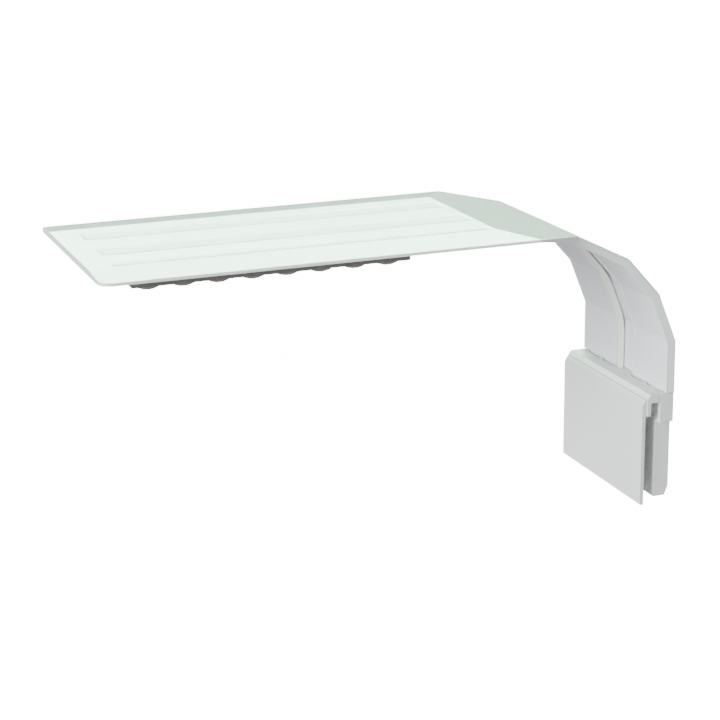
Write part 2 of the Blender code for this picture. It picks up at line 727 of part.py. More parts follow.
def rear_housing():
    """Outer half of the clamp: a shallow box, open at the back, with a wider block on top."""
    back = BODY_BACK_X - REAR_COVER_THICKNESS - GAP
    front = NOTCH_HALF_WIDTH + GAP
    lower = [(BODY_FRONT_X, BODY_BOTTOM_Z), (BODY_BACK_X - BODY_CHAMFER[0], BODY_BOTTOM_Z),
             (BODY_BACK_X, BODY_BOTTOM_Z + BODY_CHAMFER[1]), (BODY_BACK_X, BLOCK_BOTTOM_Z + 1.0),
             (front, BLOCK_BOTTOM_Z + 1.0), (BODY_FRONT_X, BLOCK_BOTTOM_Z)]
    body = prism_y("rear_housing", lower, BODY_HALF_WIDTH)
    block = [(front, BLOCK_BOTTOM_Z), (BODY_BACK_X, BLOCK_BOTTOM_Z), (BODY_BACK_X, CLAMP_TOP_Z),
             (front, CLAMP_TOP_Z)]
    join(body, prism_y("rear_block", block, SADDLE_HALF_WIDTH))
    boss = rod_x("insert_boss", BOSS_RADIUS, (BODY_FRONT_X + 0.6, back - 0.6), 0.0, SCREW_Z,
                 "clamp_white", 24)
    cavity = box("housing_cavity", (BODY_FRONT_X + BODY_WALL, back + 3.0),
                 (-CAVITY_HALF_WIDTH, CAVITY_HALF_WIDTH), (CAVITY_BOTTOM_Z, BLOCK_BOTTOM_Z + 1.0))
    top_cavity = box("block_cavity", (front + BODY_WALL, back),
                     (-BLOCK_CAVITY_HALF_WIDTH, BLOCK_CAVITY_HALF_WIDTH),
                     (BLOCK_BOTTOM_Z, CLAMP_TOP_Z - BLOCK_ROOF))
    cover_seat = box("cover_seat", (back, back + 3.0), (-COVER_SEAT_HALF_WIDTH, COVER_SEAT_HALF_WIDTH),
                     COVER_SEAT_Z)
    cut(body, cavity, top_cavity)
    join(body, boss)
    cut(body, cover_seat, tab_slots("housing_tab_slots"), *housing_holes())
    return body


def housing_holes():
    """Openings in the rear housing: cable entry, foot pocket, stud hole, insert, screws and socket."""
    front = NOTCH_HALF_WIDTH + GAP
    x_cable = BODY_BACK_X - CHANNEL_FLOOR_DEPTH - CHANNEL_FLOOR_SKIN - GAP - CABLE_THICKNESS / 2
    half_x, half_y = CABLE_THICKNESS / 2 + 0.4, CABLE_WIDTH / 2 + 0.5
    cable_entry = box("cable_entry", (x_cable - half_x, x_cable + half_x),
                      (CABLE_Y - half_y, CABLE_Y + half_y), (CLAMP_TOP_Z - 3.0, CLAMP_TOP_Z + 1.0))
    pocket = rod_x("foot_pocket", FOOT_RADIUS + 0.5, (BODY_FRONT_X - 1.0, BODY_FRONT_X + POCKET_DEPTH),
                   0.0, SCREW_Z, "clamp_white", 32)
    bore = rod_x("insert_bore", INSERT_RADIUS + GAP, (INSERT_FRONT_X - GAP, BODY_BACK_X + 1.0), 0.0,
                 SCREW_Z, "clamp_white", 24)
    stud_hole = rod_x("stud_hole", STUD_RADIUS + 0.4, (BODY_FRONT_X - 1.0, INSERT_FRONT_X + 1.0), 0.0,
                      SCREW_Z, "clamp_white", 24)
    bm = bmesh.new()
    for y in SADDLE_SCREW_YS:
        add_rod_x(bm, SADDLE_HOLE_RADIUS, (front - 1.0, front + BODY_WALL + 1.0), y, SADDLE_SCREW_Z, 12)
    screw_holes_x = add_object("housing_screw_holes", bm, "clamp_white")
    room = SOCKET_HOLE_ROOM
    socket_hole = box("socket_hole", (SOCKET_X[0] - room, SOCKET_X[1] + room),
                      (SOCKET_Y[0] - room, SOCKET_Y[1] + room),
                      (BODY_BOTTOM_Z - 1.0, BODY_BOTTOM_Z + SOCKET_HOLE_DEPTH))
    return [cable_entry, pocket, bore, stud_hole, screw_holes_x, socket_hole]


def rear_cover():
    """Flat lid let into the back of the rear housing, with a hole for the thumbscrew."""
    x = (BODY_BACK_X - REAR_COVER_THICKNESS, BODY_BACK_X - 0.1)
    bm = bmesh.new()
    z_range = (COVER_SEAT_Z[0] + COVER_SEAT_ROOM, COVER_SEAT_Z[1] - COVER_SEAT_ROOM)
    outline = rounded_outline(z_range, COVER_SEAT_HALF_WIDTH - COVER_SEAT_ROOM, REAR_COVER_CORNER_RADIUS)
    loft(bm, [[(level, y, z) for z, y in outline] for level in x])
    lid = add_object("rear_cover", bm, "clamp_white")
    bm = bmesh.new()
    add_rod_x(bm, STUD_RADIUS + 1.1, (x[0] - 1.0, x[1] + 1.0), 0.0, SCREW_Z, 24)
    for y, z in cover_screw_places():
        add_rod_x(bm, SHANK_RADIUS + 0.4, (x[0] - 1.0, x[1] + 1.0), y, z, 12)
    cut(lid, add_object("rear_cover_holes", bm, "clamp_white"))


def cover_screw_places():
    return [(y, z) for y in COVER_SCREW_YS for z in COVER_SCREW_ZS]


def cover_screw_posts():
    """Posts inside the housing that the rear cover's screws bite into."""
    back = BODY_BACK_X - REAR_COVER_THICKNESS - GAP
    bm = bmesh.new()
    for y, z in cover_screw_places():
        add_rod_x(bm, POST_RADIUS, (BODY_FRONT_X + 0.6, back), y, z, 12)
    posts = add_object("cover_screw_posts", bm, "clamp_white")
    bm = bmesh.new()
    for y, z in cover_screw_places():
        add_rod_x(bm, PILOT_RADIUS, (back - PILOT_DEPTH, back + 1.0), y, z, 12)
    return posts, add_object("cover_post_holes", bm, "clamp_white")


def rear_cover_screws():
    rim, top, height = COVER_SCREW_HEAD
    face = BODY_BACK_X + 0.2
    levels = ((COVER_SCREW_TIP_X, SHANK_RADIUS), (face, SHANK_RADIUS), (face, rim), (face + height, top))
    for i, (y, z) in enumerate(cover_screw_places()):
        bm = bmesh.new()
        loft(bm, [circle_x(x, y, z, radius, 12) for x, radius in levels])
        add_object(f"rear_cover_screw_{i + 1}", bm, "steel")


def power_socket():
    """Low-voltage socket in the housing's bottom, opening downwards, and its centre pin."""
    low = BODY_BOTTOM_Z + GAP
    x, y = sum(SOCKET_X) / 2, sum(SOCKET_Y) / 2
    body = box("power_socket", SOCKET_X, SOCKET_Y, (low, low + SOCKET_LENGTH), "black_plastic")
    bm = bmesh.new()
    add_rod_z(bm, SOCKET_BORE_RADIUS, x, y, (low - 1.0, low + SOCKET_BORE_DEPTH), 16)
    cut(body, add_object("socket_barrel", bm, "black_plastic"))
    bm = bmesh.new()
    add_rod_z(bm, SOCKET_PIN_RADIUS, x, y, (low + 0.8, low + SOCKET_BORE_DEPTH - GAP), 10)
    add_object("socket_pin", bm, "brass")


def junction_board():
    """Small board in the housing that joins the socket to the arm's lead, with its components."""
    board = box("junction_board", JUNCTION_X, JUNCTION_Y, JUNCTION_Z, "board_white")
    parts = [((front, JUNCTION_X[0] + 0.2), y, z) for front, y, z in JUNCTION_PARTS]
    join(board, boxes("board_components", parts, "black_plastic"))


def threaded_insert():
    """Brass insert in the housing's boss that carries the thumbscrew."""
    x = (INSERT_FRONT_X, BODY_BACK_X - REAR_COVER_THICKNESS - 0.6)
    nut = rod_x("threaded_insert", INSERT_RADIUS, x, 0.0, SCREW_Z, "brass", 24)
    cut(nut, rod_x("insert_thread", STUD_RADIUS + 0.05, (x[0] - 1.0, x[1] + 1.0), 0.0, SCREW_Z,
                   "brass", 24))


# ---------------------------------------------------------------- thumbscrew

def screw_axis():
    """Empty on the thumbscrew's axis that carries its moving pieces."""
    empty = bpy.data.objects.new("screw_axis", None)
    empty.location = Vector((BODY_BACK_X, 0.0, SCREW_Z)) * MM
    bpy.context.scene.collection.objects.link(empty)
    return empty


def hang_on(axis, *pieces):
    for piece in pieces:
        piece.parent = axis
        piece.matrix_parent_inverse = Matrix.Translation(-axis.location)


def thumbscrew_stud():
    """Threaded stud, from behind the foot to inside the knob."""
    tip = BODY_FRONT_X + POCKET_DEPTH - GAP
    end = KNOB_X[0] + KNOB_SEAT_DEPTH - 0.4
    small = STUD_RADIUS - STUD_CHAMFER
    levels = ((tip, small), (tip + STUD_CHAMFER, STUD_RADIUS), (end - STUD_CHAMFER, STUD_RADIUS),
              (end, small))
    bm = bmesh.new()
    loft(bm, [circle_x(x, 0.0, SCREW_Z, radius, 24) for x, radius in levels])
    return add_object("thumbscrew_stud", bm, "steel")


def knob_ring(x, radius, depth):
    """Lobed outline of the knob at one height along its axis."""
    points = []
    count = KNOB_LOBES * 6
    for i in range(count):
        angle = 2 * math.pi * i / count
        r = radius - depth * (0.5 + 0.5 * math.cos(KNOB_LOBES * angle))
        points.append((x, r * math.cos(angle), SCREW_Z + r * math.sin(angle)))
    return points


def thumbscrew_knob():
    """Lobed knob with a short collar, bored for the stud."""
    bore = STUD_RADIUS + GAP
    low, high = KNOB_X
    lobe = KNOB_LOBE_DEPTH
    levels = ((low + KNOB_SEAT_DEPTH, bore, 0.0), (low, bore, 0.0), (low, KNOB_RADIUS - 0.7, lobe),
              (low + 0.7, KNOB_RADIUS, lobe), (high - 1.0, KNOB_RADIUS, lobe),
              (high, KNOB_RADIUS - 1.0, lobe))
    bm = bmesh.new()
    loft(bm, [knob_ring(x, radius, depth) for x, radius, depth in levels])
    return add_object("thumbscrew_knob", bm, "clamp_white")


def pressure_foot():
    """Disc that the stud pushes against the glass, and its soft face."""
    back = BODY_FRONT_X + POCKET_DEPTH - 2 * GAP
    plate_x = (back - FOOT_PLATE_THICKNESS, back)
    plate = rod_x("pressure_plate", FOOT_RADIUS, plate_x, 0.0, SCREW_Z, "clamp_white", 32)
    face_x = (plate_x[0] - GAP - FOOT_FACE_THICKNESS, plate_x[0] - GAP)
    face = rod_x("pressure_face", FOOT_RADIUS - 0.2, face_x, 0.0, SCREW_Z, "silicone", 32)
    return plate, face


# ---------------------------------------------------------------- assembly

def shade(obj):
    obj.data.shade_smooth()
    obj.data.set_sharp_from_angle(angle=math.radians(32))


def main():
    clear_scene()
    upper_shell()
    head_bottom_cover()
    lens_cover()
    lens_gasket()
    heat_spreader()
    led_board()
    board_screws()
    board_connector()
    arm_inner_cover()
    arm_cable()
    cable_gland()
    head_lead()
    front_plate()
    front_jaw_pad()
    saddle()
    saddle_screws()
    housing = rear_housing()
    posts, post_holes = cover_screw_posts()
    join(housing, posts)
    cut(housing, post_holes)
    rear_cover()
    rear_cover_screws()
    power_socket()
    junction_board()
    threaded_insert()
    axis = screw_axis()
    hang_on(axis, thumbscrew_stud(), thumbscrew_knob(), *pressure_foot())
    for obj in bpy.data.objects:
        if obj.type == "MESH":
            shade(obj)


main()
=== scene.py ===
"""Looks of the clip-on LED aquarium light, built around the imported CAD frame."""

import json
import math

import bmesh
import bpy
from mathutils import Euler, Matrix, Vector


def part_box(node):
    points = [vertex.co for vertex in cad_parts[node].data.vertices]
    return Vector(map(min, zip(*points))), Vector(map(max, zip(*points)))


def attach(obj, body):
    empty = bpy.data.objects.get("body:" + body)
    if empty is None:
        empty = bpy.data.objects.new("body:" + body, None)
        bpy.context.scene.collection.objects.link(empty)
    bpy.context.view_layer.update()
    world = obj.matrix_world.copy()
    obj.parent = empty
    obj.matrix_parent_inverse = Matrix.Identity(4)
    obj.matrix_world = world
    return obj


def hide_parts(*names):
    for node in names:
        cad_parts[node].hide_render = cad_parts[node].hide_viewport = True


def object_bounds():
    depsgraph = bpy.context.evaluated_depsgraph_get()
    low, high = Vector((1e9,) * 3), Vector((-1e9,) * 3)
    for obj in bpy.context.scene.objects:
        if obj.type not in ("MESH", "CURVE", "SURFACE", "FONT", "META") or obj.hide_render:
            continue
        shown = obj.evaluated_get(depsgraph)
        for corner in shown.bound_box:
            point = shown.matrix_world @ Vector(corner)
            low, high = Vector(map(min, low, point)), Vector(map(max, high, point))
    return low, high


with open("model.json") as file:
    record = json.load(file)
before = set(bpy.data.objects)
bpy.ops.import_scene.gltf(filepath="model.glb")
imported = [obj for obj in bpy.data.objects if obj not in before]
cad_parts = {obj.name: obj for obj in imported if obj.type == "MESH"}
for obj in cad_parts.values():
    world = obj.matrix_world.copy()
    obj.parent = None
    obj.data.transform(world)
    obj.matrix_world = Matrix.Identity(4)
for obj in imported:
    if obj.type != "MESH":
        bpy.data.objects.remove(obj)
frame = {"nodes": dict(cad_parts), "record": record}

cad_low, cad_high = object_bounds()
MM = 0.001

# Camera: aimed at a point in the lamp's middle plane (metres, degrees, millimetres of lens and sensor)
CAMERA_AIM = Vector((-0.1435, 0.0, 0.0275))
CAMERA_DISTANCE = 0.977
CAMERA_AZIMUTH = 20.54
CAMERA_ELEVATION = 16.58
CAMERA_ROLL = -0.79
CAMERA_LENS = 97.5
CAMERA_SENSOR = 36.0
CAMERA_NEAR_LIMIT = 0.01

# Floor, in metres: level under the lamp and swept up far away as a studio cove
FLOOR_DROP = 1.0
FLOOR_HALF_SIZE = 40.0
FLOOR_SEGMENTS = 24
FLOOR_LEVEL_REACH = 12.0
FLOOR_SWEEP = 0.4
FLOOR_GREY = 0.93
FLOOR_ROUGHNESS = 0.9
FLOOR_GLOW = 15.0

# World light from above and from below, and the height (sine) over which it fades
SKY_GLOW = 0.35
GROUND_GLOW = 0.6
WORLD_FADE = 0.6

# Studio lights: (name, direction that the light comes from, power, softness in degrees)
SUNS = (
    ("top_light", (-0.6, 0.1, 1.0), 0.5, 40.0),
    ("front_light", (-1.0, -0.35, 0.3), 6.2, 30.0),
    ("side_light", (-0.38, -1.0, 0.12), 0.8, 15.0),
    ("rear_light", (1.0, 0.4, 0.1), 1.6, 40.0),
)
SUN_DISTANCE = 2.0
PANEL_GLOW = 640.0
PANEL_WIDTH = 5.0
PANEL_HEIGHT = 1.3
PANEL_DISTANCE = 3.0
PANEL_ELEVATION = 24.0  # its lower edge is then 12 degrees above the level top
PANEL_TINT = (0.58, 1.0, 0.70)

# Base colours
WHITE_SHELL = (0.76, 0.88, 0.81)
STRIPE_WHITE = (0.68, 0.76, 0.715)
ARM_WHITE = (0.74, 0.755, 0.80)
CLAMP_WHITE = (0.70, 0.72, 0.715)
CABLE_CREAM = (0.80, 0.82, 0.75)
SILICONE_GREY = (0.62, 0.63, 0.64)
SOLDER_MASK_WHITE = (0.80, 0.82, 0.80)
MOULDED_BLACK = (0.035, 0.035, 0.04)
ALUMINIUM_GREY = (0.78, 0.79, 0.80)
STEEL_GREY = (0.66, 0.67, 0.68)
BRASS_YELLOW = (0.76, 0.60, 0.30)
# Lens: a dark grey colour on the clear lens, painted shade that stands for the dark inside of the head seen
# through it
LENS_PAINTED_SHADE_TONES = ((0.17, 0.165, 0.15), (0.26, 0.25, 0.23))
YELLOW_RESIN_TONES = ((0.78, 0.62, 0.18), (0.88, 0.78, 0.34))
BLUE_RESIN_TONES = ((0.30, 0.42, 0.72), (0.48, 0.60, 0.85))

# Materials: sizes of their noise, and the span of noise values that the shades are spread over
WAVE_SIZE = 4.0 * MM
SHADE_SIZE = 38.0 * MM
TOOL_MARK_SIZE = 0.5 * MM
TARNISH_SIZE = 3.0 * MM
FLOW_SIZE = 6.0 * MM
RESIN_GRAIN = 0.25 * MM
NOISE_SPAN = (0.3, 0.7)

# Cleaning of the CAD surface: distance of welding and angle, in degrees, of merging
WELD_DISTANCE = 0.001 * MM
MERGE_ANGLE = 0.6

# Slack in tests of place: for points that touch, and for faces that lie at one height
TOUCHING = 0.01 * MM
LEVEL_SLACK = 0.05 * MM

# Edges: angles in degrees that tell a corner from a fold, and roundings
CORNER_ANGLE = 35.0
FOLD_ANGLE = 0.7
RIM_ROUND = 2.6 * MM
HEAD_RIM_ROUND = 0.8 * MM
HEAD_LOW_Z = 91.4 * MM
LIP_ROUND = 0.3 * MM
FOLD_ROUND = 0.8 * MM

# Sunk stripes of the head's top, and the layer under the top in which their edges lie
STRIPE_ROUND = 0.6 * MM
STRIPE_SLOPE = 2.0 * MM
STRIPE_DEPTH = 0.25 * MM
STRIPE_HALF_WIDTH = 41.0 * MM
STRIPE_LAYER = 0.5 * MM

# Arm: outer line from the second fold down to the clamp, (x, z) in millimetres
ARM_PATH = ((-46.0, 91.5), (-17.0, 77.0), (0.0, 58.0), (10.4, 32.0), (10.4, 4.7))

# Beads along the cable channel: distances from the middle plane and depths below the outer line
LIP_Y = (9.3 * MM, 10.1 * MM)
LIP_DEPTH = (4.2 * MM, 4.85 * MM)
LIP_EDGE = 0.2 * MM

# Flat lead: each core's round side covers CORE_ARC degrees
CABLE_THICKNESS = 1.8 * MM
CORE_ARC = 280.0
CORE_STEPS = 14
CORNER_CUT = 0.25  # part of each step that a round of corner cutting takes from both its ends
CORNER_CUT_ROUNDS = 2

# Lens tray and LED board
TRAY_FLOOR_Z = 90.6 * MM
TRAY_FLOOR = 1.2 * MM
TRAY_WALL = 1.2 * MM
TRAY_ROUND = 0.5 * MM
LENS_COLUMNS = 8
LENS_ROWS = (-46.5 * MM, -15.5 * MM, 15.5 * MM, 46.5 * MM)
LENS_RADIUS = 7.4 * MM
LENS_EDGE = 0.15 * MM
LENS_EDGE_ANGLE = 16.0
LENS_MARGIN = 1.0 * MM
LENS_RINGS = 8
LENS_STEPS = 32
LENS_FIRST_ANGLE = 225.0
BOARD_THICKNESS = 1.0 * MM
LED_SIDE = 3.4 * MM
LED_TIP_GAP = 0.1 * MM
RESIN_INSET = 0.4 * MM
RESIN_DEPTH = 0.3 * MM
SOLDER_LENGTH = 0.6 * MM
SOLDER_HALF_WIDTH = 1.2 * MM
SOLDER_RISE = 0.25 * MM
TRACE_HALF_WIDTH = 0.8 * MM
TRACE_RISE = 0.06 * MM
CHIP_ROUND = 0.08 * MM

# Screws: (radius as a part of the head's, height as a part of the head's) up the pan head,
# then arm length and half width of the cross recess as parts of the head's radius
SCREW_STEPS = 24
PAN_HEAD = ((0.97, 0.0), (1.0, 0.15), (0.95, 0.5), (0.82, 0.82), (0.64, 1.0))
CROSS_RIM = (0.52, 0.13)
CROSS_PIT = (0.36, 0.09)
CROSS_DEPTH = 0.75
NEVER_ZERO = 1e-9  # keeps a division safe
SCREW_TIP = (0.3, 0.5)  # radius of its flat end and length of its cone, as parts of the shank's radius
SHARP_ANGLE = 35.0
TURNED_SHARP_ANGLE = 50.0

# Stud and knob
THREAD_PITCH = 2.0 * MM
THREAD_DEPTH = 0.55 * MM
THREAD_STEP = 0.125 * MM
THREAD_TURN_STEPS = 40
THREAD_FLANK = 2.6  # how steeply the thread falls from its crest to its flat root
KNOB_LOBES = 10
KNOB_STEPS = 120
KNOB_LOBE_DEPTH = 0.9 * MM
KNOB_BACK_LOBE_DEPTH = 0.6 * MM
KNOB_SHOULDER = 1.5 * MM
KNOB_SHOULDER_STEPS = 6
KNOB_BORE_GAP = 0.3 * MM
KNOB_BORE_DEPTH = 5.0 * MM
KNOB_CHAMFER = 0.3 * MM
KNOB_FACE_RADIUS = 5.4 * MM
DISH_RADII = (6.0 * MM, 5.3 * MM, 2.0 * MM)
DISH_DEPTHS = (0.0, 0.5 * MM, 0.6 * MM)


# ---------------------------------------------------------------- objects and meshes

def new_object(name, data):
    """A new object in the scene."""
    made = bpy.data.objects.new(name, data)
    bpy.context.scene.collection.objects.link(made)
    return made


def mesh_from(bm, name):
    """A mesh with the form of `bm`, which is freed."""
    mesh = bpy.data.meshes.new(name)
    bm.to_mesh(mesh)
    bm.free()
    return mesh


# ---------------------------------------------------------------- camera, floor and lights

def away_from_camera(elevation):
    """Unit vector along the camera's azimuth, away from the camera and `elevation` degrees up."""
    turn, rise = math.radians(CAMERA_AZIMUTH), math.radians(elevation)
    return Vector((math.sin(turn) * math.cos(rise), math.cos(turn) * math.cos(rise), math.sin(rise)))


def make_camera():
    """Camera on the photo's side of the lamp, turned a little about its own axis."""
    data = bpy.data.cameras.new("camera")
    data.lens = CAMERA_LENS
    data.sensor_width = CAMERA_SENSOR
    data.clip_start = CAMERA_NEAR_LIMIT
    camera = new_object("camera", data)
    forward = away_from_camera(-CAMERA_ELEVATION)
    camera.location = CAMERA_AIM - forward * CAMERA_DISTANCE
    turn = forward.to_track_quat("-Z", "Y")
    camera.rotation_mode = "QUATERNION"
    camera.rotation_quaternion = turn @ Euler((0.0, 0.0, math.radians(CAMERA_ROLL))).to_quaternion()
    bpy.context.scene.camera = camera


def sun_light(name, direction, power, softness):
    """Even light that comes from a direction, spread over `softness` degrees."""
    data = bpy.data.lights.new(name, "SUN")
    data.energy = power
    data.angle = math.radians(softness)
    light = new_object(name, data)
    light.rotation_mode = "QUATERNION"
    light.rotation_quaternion = (-Vector(direction)).to_track_quat("-Z", "Y")
    light.location = Vector(direction) * SUN_DISTANCE


def glowing_paint():
    """White glow over a pale matt grey."""
    paint = bpy.data.materials.new("pale_floor")
    paint.use_nodes = True
    shader = paint.node_tree.nodes["Principled BSDF"]
    shader.inputs["Base Color"].default_value = (FLOOR_GREY, FLOOR_GREY, FLOOR_GREY, 1.0)
    shader.inputs["Roughness"].default_value = FLOOR_ROUGHNESS
    shader.inputs["Emission Color"].default_value = (1.0, 1.0, 1.0, 1.0)
    shader.inputs["Emission Strength"].default_value = FLOOR_GLOW
    return paint


def make_floor():
    """Glowing floor far below the lamp: the camera sees it, but it neither lights nor shades the lamp."""
    bm = bmesh.new()
    bmesh.ops.create_grid(bm, x_segments=FLOOR_SEGMENTS, y_segments=FLOOR_SEGMENTS, size=FLOOR_HALF_SIZE)
    for vert in bm.verts:
        vert.co.z = FLOOR_SWEEP * max(0.0, vert.co.length - FLOOR_LEVEL_REACH) ** 2
    floor = new_object("floor", mesh_from(bm, "floor"))
    floor.location = (0.0, 0.0, cad_low.z - FLOOR_DROP)
    floor.visible_diffuse = False
    floor.visible_glossy = False
    floor.visible_transmission = False
    floor.visible_shadow = False
    floor.data.materials.append(glowing_paint())


def make_world():
    """White light from all round, fading with height between the ground's and the sky's strength."""
    world = bpy.data.worlds.new("studio")
    world.use_nodes = True
    nodes, links = world.node_tree.nodes, world.node_tree.links
    nodes["Background"].inputs["Color"].default_value = (1.0, 1.0, 1.0, 1.0)
    place = nodes.new("ShaderNodeTexCoord")
    split = nodes.new("ShaderNodeSeparateXYZ")
    fade = nodes.new("ShaderNodeMapRange")
    fade.inputs["From Min"].default_value = -WORLD_FADE
    fade.inputs["From Max"].default_value = WORLD_FADE
    fade.inputs["To Min"].default_value = GROUND_GLOW
    fade.inputs["To Max"].default_value = SKY_GLOW
    links.new(place.outputs["Generated"], split.inputs["Vector"])
    links.new(split.outputs["Z"], fade.inputs["Value"])
    links.new(fade.outputs["Result"], nodes["Background"].inputs["Strength"])
    bpy.context.scene.world = world


def back_panel():
    """Large soft light behind the lamp, high enough to shine along the level top only."""
    data = bpy.data.lights.new("back_panel", "AREA")
    data.shape = "RECTANGLE"
    data.size = PANEL_WIDTH
    data.size_y = PANEL_HEIGHT
    data.energy = PANEL_GLOW
    data.color = PANEL_TINT
    light = new_object("back_panel", data)
    direction = away_from_camera(PANEL_ELEVATION)
    light.location = Vector((cad_low.x / 2, 0.0, cad_high.z)) + direction * PANEL_DISTANCE
    light.visible_diffuse = False
    light.rotation_mode = "QUATERNION"
    light.rotation_quaternion = (-direction).to_track_quat("-Z", "Y")


def make_studio():
    """Floor, world and lights."""
    make_floor()
    make_world()
    for name, direction, power, softness in SUNS:
        sun_light(name, direction, power, softness)
    back_panel()


# ---------------------------------------------------------------- materials

def shader_parts(name):
    """A new node material: (material, nodes, links, shader, object coordinates)."""
    made = bpy.data.materials.new(name)
    made.use_nodes = True
    nodes, links = made.node_tree.nodes, made.node_tree.links
    place = nodes.new("ShaderNodeTexCoord")
    return made, nodes, links, nodes["Principled BSDF"], place.outputs["Object"]


def noise(nodes, links, vector, size, detail=2.0):
    """Noise whose features are about `size` metres across; returns its value output."""
    cloud = nodes.new("ShaderNodeTexNoise")
    cloud.inputs["Scale"].default_value = 1.0 / size
    cloud.inputs["Detail"].default_value = detail
    links.new(vector, cloud.inputs["Vector"])
    return cloud.outputs["Fac"]


def remap(nodes, links, value, low, high):
    """Spreads the usual span of a noise value over the range from `low` to `high`."""
    scale = nodes.new("ShaderNodeMapRange")
    scale.inputs["From Min"].default_value = NOISE_SPAN[0]
    scale.inputs["From Max"].default_value = NOISE_SPAN[1]
    scale.inputs["To Min"].default_value = low
    scale.inputs["To Max"].default_value = high
    links.new(value, scale.inputs["Value"])
    return scale.outputs["Result"]


def blend_colors(nodes, links, factor, first, second):
    """Mixes two colours by a noise value."""
    mix = nodes.new("ShaderNodeMix")
    mix.data_type = "RGBA"
    mix.inputs["A"].default_value = (*first, 1.0)
    mix.inputs["B"].default_value = (*second, 1.0)
    links.new(factor, mix.inputs["Factor"])
    return mix.outputs["Result"]


def bumps(nodes, links, shader, *layers):
    """Stacks relief layers, each (height output, strength, depth in metres), on the shader."""
    normal = None
    for height, strength, depth in layers:
        bump = nodes.new("ShaderNodeBump")
        bump.inputs["Strength"].default_value = strength
        bump.inputs["Distance"].default_value = depth
        links.new(height, bump.inputs["Height"])
        if normal:
            links.new(normal, bump.inputs["Normal"])
        normal = bump.outputs["Normal"]
    links.new(normal, shader.inputs["Normal"])


def shaded(color, amount):
    """The colour made darker (amount below 1) or lighter."""
    return [min(1.0, c * amount) for c in color]


def plastic(name, color, roughness, grain=0.35 * MM, relief=0.05):
    """Moulded plastic: fine eroded grain over faint waves, slow shade changes, varied gloss."""
    made, nodes, links, shader, place = shader_parts(name)
    fine = noise(nodes, links, place, grain)
    waves = noise(nodes, links, place, WAVE_SIZE)
    slow = noise(nodes, links, place, SHADE_SIZE, 3.0)
    tone = blend_colors(nodes, links, slow, shaded(color, 0.96), shaded(color, 1.02))
    links.new(tone, shader.inputs["Base Color"])
    links.new(remap(nodes, links, fine, roughness - 0.04, roughness + 0.05), shader.inputs["Roughness"])
    bumps(nodes, links, shader, (waves, 0.05, 0.15 * MM), (fine, relief, 0.1 * MM))
    return made


def metal(name, color, roughness, stretch):
    """Bright metal with a little tarnish and fine tool marks, made finer by `stretch` along each axis."""
    made, nodes, links, shader, place = shader_parts(name)
    turn = nodes.new("ShaderNodeMapping")
    turn.inputs["Scale"].default_value = stretch
    links.new(place, turn.inputs["Vector"])
    marks = noise(nodes, links, turn.outputs["Vector"], TOOL_MARK_SIZE, 3.0)
    tarnish = noise(nodes, links, place, TARNISH_SIZE, 3.0)
    tone = blend_colors(nodes, links, tarnish, shaded(color, 0.86), shaded(color, 1.04))
    links.new(tone, shader.inputs["Base Color"])
    links.new(remap(nodes, links, marks, roughness - 0.08, roughness + 0.1), shader.inputs["Roughness"])
    bumps(nodes, links, shader, (marks, 0.06, 0.05 * MM))
    shader.inputs["Metallic"].default_value = 1.0
    return made


def lens_painted_shade(name):
    """Clear lens plastic with a faint flow haze, coloured dark grey and only partly see-through: painted
    shade that stands for the dark inside of the head behind the lens.
    """
    made, nodes, links, shader, place = shader_parts(name)
    flow = noise(nodes, links, place, FLOW_SIZE, 3.0)
    tone = blend_colors(nodes, links, flow, *LENS_PAINTED_SHADE_TONES)
    links.new(tone, shader.inputs["Base Color"])
    links.new(remap(nodes, links, flow, 0.07, 0.15), shader.inputs["Roughness"])
    bumps(nodes, links, shader, (flow, 0.04, 0.1 * MM))
    shader.inputs["Transmission Weight"].default_value = 0.45
    shader.inputs["IOR"].default_value = 1.55
    shader.inputs["Specular IOR Level"].default_value = 0.8
    return made


def phosphor(name, tones):
    """Resin over a light-emitting chip: powdery, with a grainy fleck of two tones."""
    made, nodes, links, shader, place = shader_parts(name)
    grains = noise(nodes, links, place, RESIN_GRAIN)
    links.new(blend_colors(nodes, links, grains, *tones), shader.inputs["Base Color"])
    links.new(remap(nodes, links, grains, 0.25, 0.4), shader.inputs["Roughness"])
    bumps(nodes, links, shader, (grains, 0.1, 0.05 * MM))
    shader.inputs["Coat Weight"].default_value = 0.6
    shader.inputs["Coat Roughness"].default_value = 0.1
    return made


def make_materials():
    """Every finish by its key. A plastic has a colour, a roughness, and a size and strength of grain."""
    return {
        "white_shell": plastic("white_shell_plastic", WHITE_SHELL, 0.20),
        "stripe_white": plastic("stripe_white_plastic", STRIPE_WHITE, 0.30, 0.5 * MM, 0.10),
        "arm_white": plastic("arm_white_plastic", ARM_WHITE, 0.30),
        "clamp_white": plastic("clamp_white_plastic", CLAMP_WHITE, 0.52, 0.4 * MM, 0.09),
        "clear_lens": lens_painted_shade("lens_clear_painted_shade"),
        "silicone": plastic("silicone_soft", SILICONE_GREY, 0.6, 0.3 * MM, 0.1),
        "aluminium": metal("aluminium_sheet", ALUMINIUM_GREY, 0.34, (1.0, 14.0, 1.0)),
        "board_white": plastic("solder_mask_white", SOLDER_MASK_WHITE, 0.35, 0.2 * MM),
        "steel": metal("plated_steel", STEEL_GREY, 0.26, (4.0, 4.0, 4.0)),
        "brass": metal("turned_brass", BRASS_YELLOW, 0.30, (9.0, 1.0, 1.0)),
        "cable_cream": plastic("sheath_cream", CABLE_CREAM, 0.44, 0.25 * MM, 0.04),
        "black_plastic": plastic("moulded_black", MOULDED_BLACK, 0.42),
        "led_white": phosphor("led_phosphor_yellow", YELLOW_RESIN_TONES),
        "led_blue": phosphor("led_resin_blue", BLUE_RESIN_TONES),
    }


# ---------------------------------------------------------------- helpers for pieces

def slot_of(node):
    """Material slot that the record gives to a CAD node."""
    for row in frame["record"]["subparts"]:
        if row["node"] == node:
            return row["material_slot"]
    return None


def body_of_node(node):
    """Body that a CAD node moves with."""
    for body, members in frame["record"]["behaviour"]["bodies"].items():
        if node in members:
            return body
    return None


